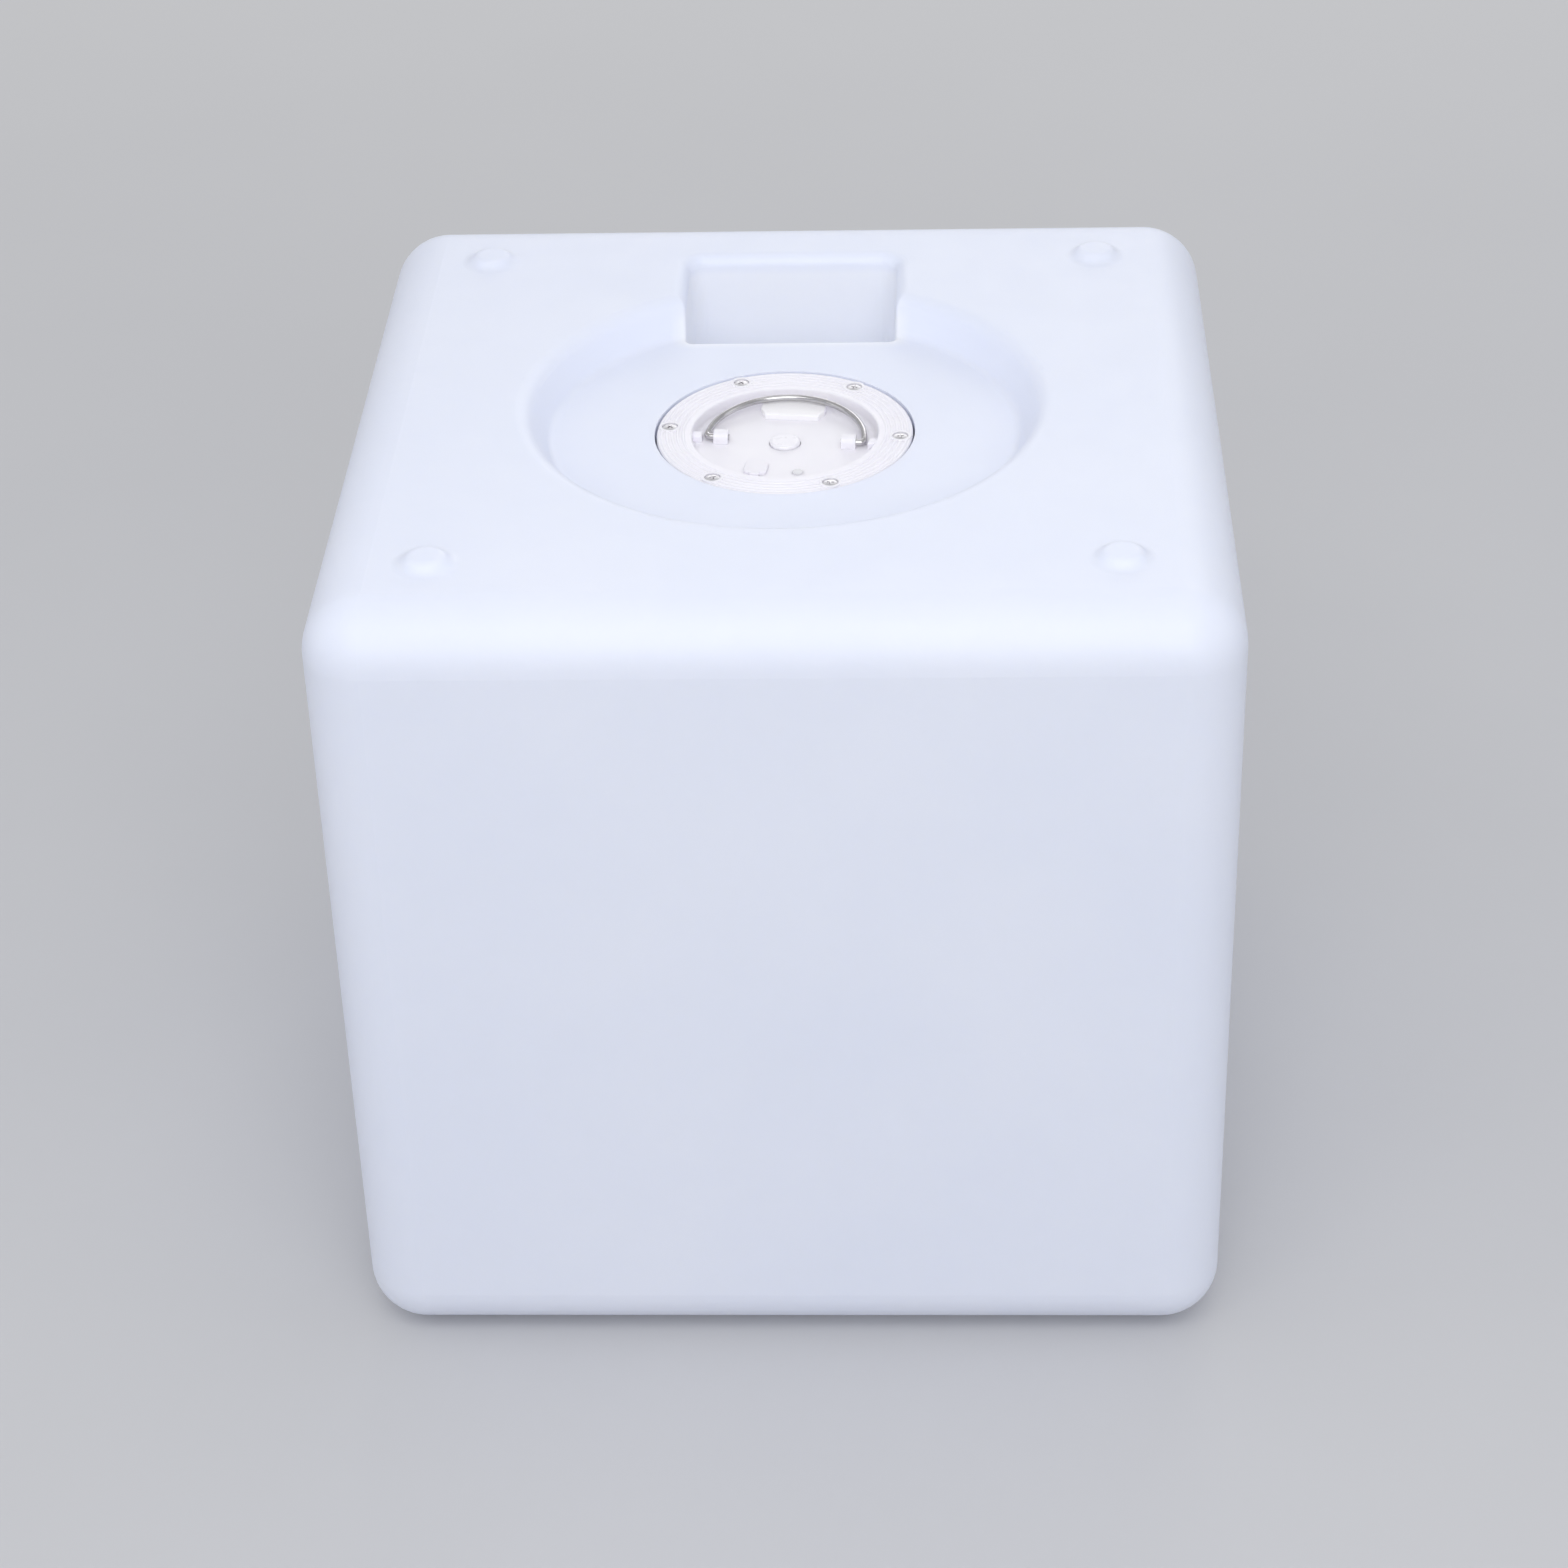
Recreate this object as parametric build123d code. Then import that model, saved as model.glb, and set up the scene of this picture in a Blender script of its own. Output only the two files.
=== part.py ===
from build123d import *
from math import atan2, cos, degrees, radians, sin, sqrt
import os

# Light-up cube stool, millimetres. It stands on its seat face at z = 0 with its base face up:
# the recess, the hand-grip pocket, the feet and the light module are on the base face.

# Moulded cube
body_width = 400
body_depth = 400
base_height = 393
edge_round = 27
wall = 4

# Feet moulded on the base face: low cones with a rounded top and a soft foot
foot_radius = 12.2
foot_top_radius = 7.5
foot_height = 4
foot_round_share = 1.25
foot_blend_share = 1.75
foot_inset = 52

# Round recess in the base face
recess_radius = 108
recess_depth = 17
recess_wall_run = 10
recess_rim_round = 9
recess_floor_round = 5

# Hand-grip pocket, cut through the recess wall towards +Y
pocket_width = 102
pocket_near = 90
pocket_length = 60
pocket_depth = 56
pocket_draft = 2
pocket_near_corner = 5
pocket_far_corner = 8
pocket_rim_round = 6
pocket_lip_round = 2
pocket_floor_round_share = 0.8

# Thick ring below the recess that carries the light module
boss_radius = 66
boss_depth = 14
boss_round = 4
cover_gap = 1
throat_radius = 48.3

# The module sits turned in the ring, as an assembler happened to put it
module_turn = -5.8

# Cover of the module
cover_radius = 59
cover_drop = 0.4
cover_flange = 4
cover_edge_break = 0.6
cover_floor = 2.5
dish_wall = 2
well_radius = 42.5
well_depth = 6.1
well_floor_round = 1.6
well_rim_round = 0.8
well_draft_run = 0.6

# Concentric ridges on the cover's rim
ridge_count = 5
first_ridge_radius = 46.9
ridge_pitch = 2.45
ridge_height = 0.5
ridge_foot = 1.7
ridge_top = 0.6

# Screws of the cover, in moulded-in threaded inserts
screw_count = 6
screw_circle_radius = 53.5
screw_pad_radius = 5
screw_head_radius = 3.3
screw_head_height = 1.7
screw_head_round = 0.6
screw_recess_radius = 3.7
screw_recess_depth = 2.3
screw_shank_radius = 1.95
screw_hole_radius = 2.25
screw_length = 13
insert_radius = 3.1
insert_length = 10
insert_bore_radius = 2
insert_groove_depth = 0.4
insert_groove_width = 2
insert_fit = 0.03
insert_hole_spare = 1.5

# Cross recess of every screw, as shares of the head's radius and height
cross_width_share = 0.24
cross_length_share = 1.3
cross_depth_share = 0.55

# Bent wire handle and its lugs
handle_radius = 36.5
handle_wire = 3
handle_bend = 3
handle_pivot_height = 2
handle_raise = 4.3
handle_bore_fit = 0.06
lug_thickness = 6.6
lug_gap = 0.45
lug_depth = 7
pin_end_proud = 0.4
cheek_gap = 0.5
cheek_depth = 5
cheek_round = 1
lug_head_share = 0.9

# Rest that holds the folded bow up, out from the well's wall
rest_near = 22.7
rest_near_width = 24.6
rest_width = 30
rest_corner_run = 5.6
rest_corner_round = 1.2
rest_edge_round = 0.5
rest_gap = 0.2

# Power button and its washer seal
button_radius = 7
button_height = 1.8
button_round = 1.2
button_gap = 0.3
button_skin = 2
button_skirt = 1.6
button_flange_reach = 1.6
button_flange = 1
button_travel = 1.2
button_stem_radius = 1.9
button_rest_gap = 0.2
seal_thickness = 0.6
seal_reach = 1.9

# Push switch on the board
switch_size = 6
switch_height = 4.3
switch_corner = 0.5
plunger_radius = 1.7
plunger_fit = 0.05
plunger_seat = 1.8
switch_spare = 0.3

# Charging socket and the plug that closes it
port_x = -10
port_y = -25.5
port_hole_radius = 4.3
plug_stem_radius = 4
plug_stem_gap = 0.2
plug_width = 10.6
plug_length = 11
plug_thickness = 1.5
plug_corner = 2.2
plug_edge_round = 0.5
plug_tab_width = 4.6
plug_tab_reach = 1.6
socket_size = 9
socket_corner = 0.8
socket_gap = 0.3
socket_bore_radius = 2.75
socket_bore_depth = 7.2
socket_pin_radius = 1

# Light pipe of the charging lamp
lens_x = 9.3
lens_y = -27
pipe_radius = 2.5
pipe_fit = 0.05
pipe_proud = 0.5
pipe_crown = 0.4
pipe_collar_reach = 0.8
pipe_collar = 1
lamp_gap = 0.3
lamp_width = 3.2
lamp_depth = 2.8
lamp_height = 1.2

# Circuit board below the cover
board_radius = 40
board_thickness = 1.6
board_drop = 9
post_circle_radius = 34
post_radius = 3.2
post_first_angle = 45
post_count = 4
small_screw_radius = 1.25
small_screw_fit = 0.05
small_screw_hole_gap = 0.3
small_screw_head_radius = 2.5
small_screw_head_height = 1.6
small_screw_head_round = 0.5
small_screw_length = 7
connector_x = 10
connector_y = -31
connector_width = 8
connector_depth = 5
connector_height = 5.5
connector_corner = 0.6

# Gaskets
cover_gasket = 0.8
housing_gasket = 1
gasket_radius = 58.2
gasket_bore_gap = 0.4

# Cup of the module
housing_flange = 2.2
housing_flange_radius = 58.5
housing_wall = 2
housing_dish_gap = 0.3
housing_depth = 38.3
housing_floor = 2.5
housing_corner = 1.5
housing_step_height = 6
housing_step_radius = 39

# Battery cells, their cradle and clamp
cell_radius = 9.2
cell_length = 65
cell_edge_round = 0.8
cell_tip_radius = 3
cell_tip = 0.8
cell_spacing = 20
cell_floor_gap = 0.6
cell_gap = 0.3
cradle_x = 20
cradle_thickness = 3
cradle_margin = 2
clamp_width = 12
clamp_thickness = 2.2
clamp_ear_reach = 8
clamp_boss_radius = 3.4
clamp_boss_y = 24.6
lead_radius = 1.5
lead_bend = 5
lead_drop = 9

# Lamp board, lamps and the diffuser dome
led_board_radius = 35.5
led_board_thickness = 1.6
led_count = 12
led_circle_radius = 24
led_size = 5
led_height = 1.5
led_crown = 0.4
led_post_circle_radius = 29.5
led_post_angle = 60
led_post_radius = 3
led_post_height = 4
led_screw_length = 6
led_lead_radius = 2
led_lead_gap = 0.3
dome_radius = 38.4
dome_height = 22
dome_wall = 1.8
dome_flange = 2.5
dome_flange_radius = 45.5
dome_screw_count = 6
dome_screw_circle_radius = 42
dome_screw_length = 8
dome_seal = 0.8
dome_seal_bore_gap = 0.4

# How far a cutting solid runs past what it cuts
overrun = 2

# Levels from the base face down
recess_z = base_height - recess_depth
cover_top_z = recess_z - cover_drop
cover_seat_z = cover_top_z - cover_flange
housing_top_z = cover_seat_z - cover_gasket
flange_seat_z = housing_top_z - housing_flange
ledge_z = flange_seat_z - housing_gasket
boss_under_z = ledge_z - boss_depth
well_z = cover_top_z - well_depth
well_under_z = well_z - cover_floor
pivot_z = well_z + handle_pivot_height
board_top_z = well_under_z - board_drop
board_under_z = board_top_z - board_thickness
housing_floor_z = housing_top_z - housing_depth
housing_under_z = housing_floor_z - housing_floor
cell_z = housing_floor_z + cell_floor_gap + cell_radius
led_board_under_z = housing_under_z - led_board_thickness
dome_top_z = housing_under_z - dome_seal

# Radii worked out from what they fit
rim_radius = recess_radius + recess_wall_run
dish_radius = well_radius + dish_wall
housing_bore_radius = dish_radius + housing_dish_gap
housing_radius = housing_bore_radius + housing_wall
gasket_bore_radius = housing_radius + gasket_bore_gap
counterbore_radius = cover_radius + cover_gap
button_hole_radius = button_radius + button_gap
wire_radius = handle_wire / 2
small_bore_radius = small_screw_radius + small_screw_fit
small_hole_radius = small_screw_radius + small_screw_hole_gap
bend_centre_x = sqrt((handle_radius - handle_bend) ** 2 - handle_bend ** 2)
lug_outer_x = bend_centre_x - lug_gap
lug_inner_x = lug_outer_x - lug_thickness
button_flange_top_z = well_under_z - seal_thickness - button_rest_gap
button_under_z = button_flange_top_z - button_flange
plunger_top_z = button_under_z
switch_top_z = board_top_z + switch_height


def turned(*points):
    """Solid of revolution about Z from a closed outline of (radius, height) points."""
    return revolve(Plane.XZ * make_face(Polyline(*points, close=True)), Axis.Z)


def rod(radius, low, high, x=0, y=0):
    """Upright cylinder between two heights."""
    return Pos(x, y, low) * extrude(Circle(radius), high - low)


def block(width, depth, low, high, x=0, y=0, corner=0):
    """Upright block between two heights, its vertical corners rounded if asked."""
    outline = RectangleRounded(width, depth, corner) if corner else Rectangle(width, depth)
    return Pos(x, y, low) * extrude(outline, high - low)


def ring(outer, inner, low, high):
    """Flat ring between two heights."""
    return Pos(0, 0, low) * extrude(Circle(outer) - Circle(inner), high - low)


def around(shape, radius, count, first_angle=0):
    """Copies of an upright shape, spaced evenly on a circle."""
    return [copy for copy in PolarLocations(radius, count, first_angle) * shape]


def joined(shape, pieces):
    """The shape with each piece added."""
    for piece in pieces:
        shape = shape + piece
    return shape


def cut(shape, pieces):
    """The shape with each piece cut away."""
    for piece in pieces:
        shape = shape - piece
    return shape


def group(pieces):
    """Separate solids kept together in one node."""
    return Compound([piece.solid() for piece in pieces])


def edges_at(shape, height):
    """Edges that lie flat at one height."""
    flat = [edge for edge in shape.edges() if is_flat_at(edge, height)]
    return ShapeList(flat)


def is_flat_at(edge, height):
    """Whether an edge lies whole in the level plane at this height."""
    box = edge.bounding_box()
    slack = overrun / base_height
    return abs(box.min.Z - height) < slack and abs(box.max.Z - height) < slack


def pan_head_screw(head_radius, head_height, head_round, shank_radius, length, seat):
    """Cross-head screw, head up, the underside of its head at the seat's height."""
    head = rod(head_radius, seat, seat + head_height)
    head = fillet(edges_at(head, seat + head_height), head_round)
    depth = head_height * cross_depth_share
    arm = head_radius * cross_length_share
    width = head_radius * cross_width_share
    top = seat + head_height
    slots = [block(arm, width, top - depth, top + overrun), block(width, arm, top - depth, top + overrun)]
    return cut(head + rod(shank_radius, seat - length, seat), slots)


def small_screw(length, seat, downward=False):
    """Screw for boards, clamp and dome. Downward means that its head faces the floor."""
    screw = pan_head_screw(small_screw_head_radius, small_screw_head_height, small_screw_head_round,
                           small_screw_radius, length, 0)
    if downward:
        screw = Rot(180, 0, 0) * screw
    return Pos(0, 0, seat) * screw


def recess_cutter(grow):
    """The round recess as a solid, grown by a wall where the hollow behind it is meant."""
    top = base_height - grow
    floor = recess_z - grow
    dish = turned((0, floor), (recess_radius + grow, floor), (rim_radius + grow, top), (0, top))
    dish = fillet(edges_at(dish, floor), recess_floor_round + grow)
    rim_round = recess_rim_round ** 2 / (recess_rim_round + grow)
    plate = rod(rim_radius + grow + 2 * recess_rim_round, top, top + overrun)
    flared = plate + dish
    rim = [edge for edge in edges_at(flared, top) if edge.radius < rim_radius + grow + recess_rim_round]
    return fillet(rim, rim_round)


def pocket_outline(grow):
    """Outline of the hand-grip pocket at its mouth."""
    half = pocket_width / 2 + grow
    near = pocket_near - grow
    far = pocket_near + pocket_length + grow
    corners = [(-half, near), (half, near), (half, far), (-half, far)]
    radii = [pocket_near_corner, pocket_near_corner, pocket_far_corner, pocket_far_corner]
    radii = [radius + grow for radius in radii]
    return make_face(FilletPolyline(*corners, radius=radii, close=True))


def pocket_cutter(grow):
    """The hand-grip pocket as a solid, narrowing to its floor, with a flared rim."""
    top = base_height - grow
    floor = base_height - pocket_depth - grow
    mouth = Pos(0, 0, top) * pocket_outline(grow)
    pocket = extrude(mouth, top - floor, dir=(0, 0, -1), taper=pocket_draft)
    floor_round = (pocket_near_corner + grow) * pocket_floor_round_share
    pocket = fillet(edges_at(pocket, floor), floor_round)
    rim_round = pocket_rim_round ** 2 / (pocket_rim_round + grow)
    spread = 2 * (pocket_rim_round + grow)
    middle = pocket_near + pocket_length / 2
    plate = block(pocket_width + 2 * spread, pocket_length + 2 * spread, top, top + overrun, 0, middle)
    flared = plate + pocket
    inside = pocket_width / 2 + grow + pocket_rim_round
    rim = [edge for edge in edges_at(flared, top) if abs(edge.center().X) < inside
           and abs(edge.center().Y - middle) < pocket_length / 2 + grow + pocket_rim_round]
    return fillet(rim, rim_round)


def rounded_block(width, depth, low, high, radius):
    """Block with every edge rounded alike."""
    solid = block(width, depth, low, high)
    return fillet(solid.edges(), radius)


def make_body_shell():
    """Hollow moulded cube. Its hollow follows the recess, the pocket and the module's ring."""
    outer = rounded_block(body_width, body_depth, 0, base_height, edge_round)
    feet_x = body_width - 2 * foot_inset
    feet_y = body_depth - 2 * foot_inset
    foot_root = base_height - wall / 2
    foot_top = base_height + foot_height
    foot = turned((0, foot_root), (foot_radius, foot_root), (foot_radius, base_height),
                  (foot_top_radius, foot_top), (0, foot_top))
    foot = fillet(edges_at(foot, foot_top), foot_height * foot_round_share)
    outer = joined(outer, [spot * foot for spot in GridLocations(feet_x, feet_y, 2, 2)])
    blends = [edge for edge in edges_at(outer, base_height) if edge.geom_type == GeomType.CIRCLE]
    outer = fillet(blends, foot_height * foot_blend_share)
    outer = outer - recess_cutter(0) - pocket_cutter(0)
    lip = [edge for edge in edges_at(outer, recess_z) if abs(edge.center().X) < overrun
           and edge.center().Y > pocket_near / 2]
    outer = fillet(lip, pocket_lip_round)

    hollow = rounded_block(body_width - 2 * wall, body_depth - 2 * wall, wall, base_height - wall,
                           edge_round - wall)
    hollow = hollow - recess_cutter(wall) - pocket_cutter(wall)
    boss = rod(boss_radius, boss_under_z, recess_z)
    boss = fillet(edges_at(boss, boss_under_z), boss_round)
    hollow = hollow - boss

    shell = outer - hollow
    shell = shell - rod(counterbore_radius, ledge_z, recess_z + overrun)
    shell = shell - rod(throat_radius, boss_under_z - overrun, recess_z)
    insert_hole = rod(insert_radius + insert_fit, ledge_z - insert_length - insert_hole_spare, ledge_z)
    holes = around(insert_hole, screw_circle_radius, screw_count)
    return cut(shell, [Rot(0, 0, module_turn) * hole for hole in holes])


def make_threaded_inserts():
    """Brass inserts with a grip groove, flush with the ledge."""
    low = ledge_z - insert_length
    waist = insert_radius - insert_groove_depth
    middle = (low + ledge_z) / 2
    half = insert_groove_width / 2
    insert = turned((insert_bore_radius, low), (insert_radius, low), (insert_radius, middle - half),
                    (waist, middle - half), (waist, middle + half), (insert_radius, middle + half),
                    (insert_radius, ledge_z), (insert_bore_radius, ledge_z))
    return group(around(insert, screw_circle_radius, screw_count))


def make_gasket(low, high):
    """Flat gasket with a clearance hole for each screw."""
    flat = ring(gasket_radius, gasket_bore_radius, low, high)
    hole = rod(screw_hole_radius, low - overrun, high + overrun)
    return cut(flat, around(hole, screw_circle_radius, screw_count))


def cover_blank():
    """Flange with ridges and the dished well, turned in one piece."""
    well_top_radius = well_radius + well_draft_run
    points = [(0, well_z), (well_radius, well_z), (well_top_radius, cover_top_z)]
    for index in range(ridge_count):
        middle = first_ridge_radius + index * ridge_pitch
        points.append((middle - ridge_foot / 2, cover_top_z))
        points.append((middle - ridge_top / 2, cover_top_z + ridge_height))
        points.append((middle + ridge_top / 2, cover_top_z + ridge_height))
        points.append((middle + ridge_foot / 2, cover_top_z))
    points.append((cover_radius - cover_edge_break, cover_top_z))
    points.append((cover_radius, cover_top_z - cover_edge_break))
    points.append((cover_radius, cover_seat_z))
    points.append((dish_radius, cover_seat_z))
    points.append((dish_radius, well_under_z))
    points.append((0, well_under_z))
    blank = turned(*points)
    blank = fillet(edges_at(blank, well_z), well_floor_round)
    well_rim = min(edges_at(blank, cover_top_z), key=lambda edge: edge.radius)
    return fillet(well_rim, well_rim_round)


def handle_lug():
    """Lug with a rounded head, bored for the handle's pin, on the +X side."""
    half = lug_depth / 2
    top = pivot_z + half
    lug = block(lug_thickness, lug_depth, well_z, top, (lug_inner_x + lug_outer_x) / 2)
    head = [edge for edge in edges_at(lug, top) if edge.length < lug_thickness + handle_bore_fit
            and abs(edge.center().Y) > half / 2]
    lug = fillet(head, half * lug_head_share)
    bore = Pos(lug_inner_x - overrun, 0, pivot_z) * Rot(0, 90, 0) * extrude(
        Circle(wire_radius + handle_bore_fit), lug_thickness + 2 * overrun)
    return lug - bore


def handle_cheek():
    """Short rib from the well's wall that keeps the bow from spreading, on the +X side."""
    inner = handle_radius + wire_radius + cheek_gap
    outer = well_radius + dish_wall / 2
    cheek = block(outer - inner, cheek_depth, well_z, pivot_z + wire_radius, (inner + outer) / 2)
    top = edges_at(cheek, pivot_z + wire_radius)
    return fillet(top, cheek_round)


def handle_rest():
    """Raised rest that the folded bow lies on, wider away from its near edge."""
    half_near = rest_near_width / 2
    half = rest_width / 2
    shoulder = rest_near + rest_corner_run
    far = well_radius + dish_wall / 2
    corners = [(-half_near, rest_near), (half_near, rest_near), (half, shoulder), (half, far), (-half, far),
               (-half, shoulder)]
    outline = make_face(FilletPolyline(*corners, radius=rest_corner_round, close=True))
    bow_rise = sqrt(handle_radius ** 2 - half ** 2) * sin(radians(handle_raise))
    top = pivot_z + bow_rise - wire_radius - rest_gap
    rest = Pos(0, 0, well_z) * extrude(outline, top - well_z)
    rest = fillet(edges_at(rest, top), rest_edge_round)
    return rest & rod(far, well_z, top)


def make_cover_plate():
    """Cover of the light module: ridged rim, well, lugs, rest, ports and board posts."""
    cover = cover_blank()
    pad = rod(screw_pad_radius, cover_top_z - overrun, cover_top_z + ridge_height)
    cover = joined(cover, around(pad, screw_circle_radius, screw_count))
    seat = cover_top_z - screw_recess_depth
    recess = rod(screw_recess_radius, seat, cover_top_z + overrun)
    hole = rod(screw_hole_radius, cover_seat_z - overrun, cover_top_z)
    cover = cut(cover, around(recess + hole, screw_circle_radius, screw_count))

    lug = handle_lug()
    cheek = handle_cheek()
    cover = joined(cover, [lug, mirror(lug, Plane.YZ), cheek, mirror(cheek, Plane.YZ), handle_rest()])

    cover = cover - rod(button_hole_radius, well_under_z - overrun, well_z + overrun)
    cover = cover - rod(port_hole_radius, well_under_z - overrun, well_z + overrun, port_x, port_y)
    pipe_hole = rod(pipe_radius + pipe_fit, well_under_z - overrun, well_z + overrun, lens_x, lens_y)
    cover = cover - pipe_hole

    post = rod(post_radius, board_top_z, well_under_z)
    posts = around(post, post_circle_radius, post_count, post_first_angle)
    bore = rod(small_bore_radius, board_top_z - overrun, well_under_z)
    bores = around(bore, post_circle_radius, post_count, post_first_angle)
    return cut(joined(cover, posts), bores)


def make_cover_screws():
    """Six cross-head screws that hold cover and cup on the ledge."""
    screw = pan_head_screw(screw_head_radius, screw_head_height, screw_head_round, screw_shank_radius,
                           screw_length, cover_top_z - screw_recess_depth)
    return group(around(screw, screw_circle_radius, screw_count))


def make_carry_handle():
    """Half-round wire bow with its two ends bent inwards as hinge pins."""
    lift = degrees(atan2(handle_bend, bend_centre_x))
    pin_end = lug_inner_x - pin_end_proud
    right_pin = Line((pin_end, 0), (bend_centre_x, 0))
    right_bend = CenterArc((bend_centre_x, handle_bend), handle_bend, -90, 90 + lift)
    bow = CenterArc((0, 0), handle_radius, lift, 180 - 2 * lift)
    left_bend = CenterArc((-bend_centre_x, handle_bend), handle_bend, 180 - lift, 90 + lift)
    left_pin = Line((-bend_centre_x, 0), (-pin_end, 0))
    path = Wire([right_pin, right_bend, bow, left_bend, left_pin])
    section = Plane(origin=path @ 0, z_dir=path % 0) * Circle(wire_radius)
    wire = sweep(section, path=path)
    return Pos(0, 0, pivot_z) * Rot(handle_raise, 0, 0) * wire


def make_power_button():
    """Hollow push cap with a stop flange below the cover and a stem for the switch."""
    top = well_z + button_height
    inner = button_radius - button_skirt
    flange = button_radius + button_flange_reach
    ceiling = top - button_skin
    cap = turned((0, plunger_top_z), (button_stem_radius, plunger_top_z), (button_stem_radius, ceiling),
                 (inner, ceiling), (inner, button_under_z), (flange, button_under_z),
                 (flange, button_flange_top_z), (button_radius, button_flange_top_z),
                 (button_radius, top), (0, top))
    return fillet(edges_at(cap, top), button_round)


def make_button_seal():
    """Washer under the cover's floor that the button's flange closes against."""
    return ring(button_radius + seal_reach, button_hole_radius, well_under_z - seal_thickness, well_under_z)


def make_switch_body():
    """Body of the push switch, bored for its plunger."""
    body = block(switch_size, switch_size, board_top_z, switch_top_z, corner=switch_corner)
    bore_low = switch_top_z - plunger_seat - button_travel - switch_spare
    return body - rod(plunger_radius + plunger_fit, bore_low, switch_top_z + overrun)


def make_switch_plunger():
    """Plunger between the switch and the button's stem."""
    return rod(plunger_radius, switch_top_z - plunger_seat, plunger_top_z)


def make_charge_socket():
    """Upright charging socket with its centre pin."""
    high = well_under_z - socket_gap
    body = block(socket_size, socket_size, board_top_z, high, port_x, port_y, socket_corner)
    bore = rod(socket_bore_radius, high - socket_bore_depth, high + overrun, port_x, port_y)
    pin = rod(socket_pin_radius, high - socket_bore_depth, high, port_x, port_y)
    return body - bore + pin


def make_charge_port_plug():
    """Soft plug: a rounded square cap with a finger tab, and a round stem in the port."""
    cap = block(plug_width, plug_length, well_z, well_z + plug_thickness, port_x, port_y, plug_corner)
    tab_y = port_y - plug_length / 2
    tab = block(plug_tab_width, 2 * plug_tab_reach, well_z, well_z + plug_thickness, port_x, tab_y,
                plug_tab_reach / 2)
    cap = cap + tab
    cap = fillet(edges_at(cap, well_z + plug_thickness), plug_edge_round)
    return cap + rod(plug_stem_radius, well_under_z - plug_stem_gap / 2, well_z, port_x, port_y)


def make_charge_indicator_lens():
    """Clear light pipe with a crowned head and a collar below the cover."""
    low = board_top_z + lamp_height + lamp_gap
    top = well_z + pipe_proud
    pipe = rod(pipe_radius, low, top, lens_x, lens_y)
    pipe = fillet(edges_at(pipe, top), pipe_crown)
    collar = rod(pipe_radius + pipe_collar_reach, well_under_z - pipe_collar, well_under_z, lens_x, lens_y)
    return pipe + collar


def make_indicator_led():
    """Surface lamp below the light pipe."""
    return block(lamp_width, lamp_depth, board_top_z, board_top_z + lamp_height, lens_x, lens_y)


def make_control_board():
    """Round circuit board on the cover's posts."""
    board = rod(board_radius, board_under_z, board_top_z)
    hole = rod(small_hole_radius, board_under_z - overrun, board_top_z + overrun)
    return cut(board, around(hole, post_circle_radius, post_count, post_first_angle))


def make_board_screws():
    """Screws from below through the board into the posts."""
    screw = small_screw(small_screw_length, board_under_z, downward=True)
    return group(around(screw, post_circle_radius, post_count, post_first_angle))


def make_board_connectors():
    """Two lead connectors under the board."""
    low = board_under_z - connector_height
    return group([block(connector_width, connector_depth, low, board_under_z, side * connector_x,
                        connector_y, connector_corner) for side in (-1, 1)])


def cell_bar(radius, length, side):
    """Bar along X on one cell's centre line."""
    bar = extrude(Circle(radius), length / 2, both=True)
    return Pos(0, side * cell_spacing / 2, cell_z) * Rot(0, 90, 0) * bar


def make_module_housing():
    """Sealed cup: flange, wall, floor, cradle for the cells, bosses and screw holes."""
    cup = turned((0, housing_under_z), (housing_radius, housing_under_z), (housing_radius, flange_seat_z),
                 (housing_flange_radius, flange_seat_z), (housing_flange_radius, housing_top_z),
                 (housing_bore_radius, housing_top_z),
                 (housing_bore_radius, housing_floor_z + housing_step_height),
                 (housing_step_radius, housing_floor_z + housing_step_height),
                 (housing_step_radius, housing_floor_z), (0, housing_floor_z))
    cup = fillet(edges_at(cup, housing_under_z), housing_corner)
    rib_reach = cell_spacing + 2 * (cell_radius + cradle_margin)
    ribs = [block(cradle_thickness, rib_reach, housing_floor_z, cell_z - cell_radius / 2, side * cradle_x)
            for side in (-1, 1)]
    cup = joined(cup, ribs)
    bosses = [rod(clamp_boss_radius, housing_floor_z, cell_z, 0, side * clamp_boss_y) for side in (-1, 1)]
    cup = joined(cup, bosses)
    led_post = rod(led_post_radius, housing_floor_z, housing_floor_z + led_post_height)
    cup = joined(cup, led_spots(led_post))
    cup = cut(cup, [cell_bar(cell_radius + cell_gap, cell_length + 2 * cell_tip, side) for side in (-1, 1)])
    clamp_bore = rod(small_bore_radius, housing_floor_z + housing_floor, cell_z + overrun)
    cup = cut(cup, [Pos(0, side * clamp_boss_y, 0) * clamp_bore for side in (-1, 1)])
    led_bore = rod(small_bore_radius, housing_under_z - overrun, housing_under_z + led_screw_length)
    cup = cut(cup, led_spots(led_bore))
    dome_bore_top = housing_under_z + dome_screw_length - dome_flange
    dome_bore = rod(small_bore_radius, housing_under_z - overrun, dome_bore_top)
    cup = cut(cup, around(dome_bore, dome_screw_circle_radius, dome_screw_count))
    screw_hole = rod(screw_hole_radius, flange_seat_z - overrun, housing_top_z + overrun)
    cup = cut(cup, around(screw_hole, screw_circle_radius, screw_count))
    lead_hole = rod(led_lead_radius + led_lead_gap, housing_under_z - overrun, housing_floor_z + overrun,
                    -connector_x, connector_y)
    return cup - lead_hole


def led_spots(shape):
    """Copies of a shape at the four screw places of the lamp board."""
    x = led_post_circle_radius * cos(radians(led_post_angle))
    y = led_post_circle_radius * sin(radians(led_post_angle))
    return [copy for copy in GridLocations(2 * x, 2 * y, 2, 2) * shape]


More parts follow.
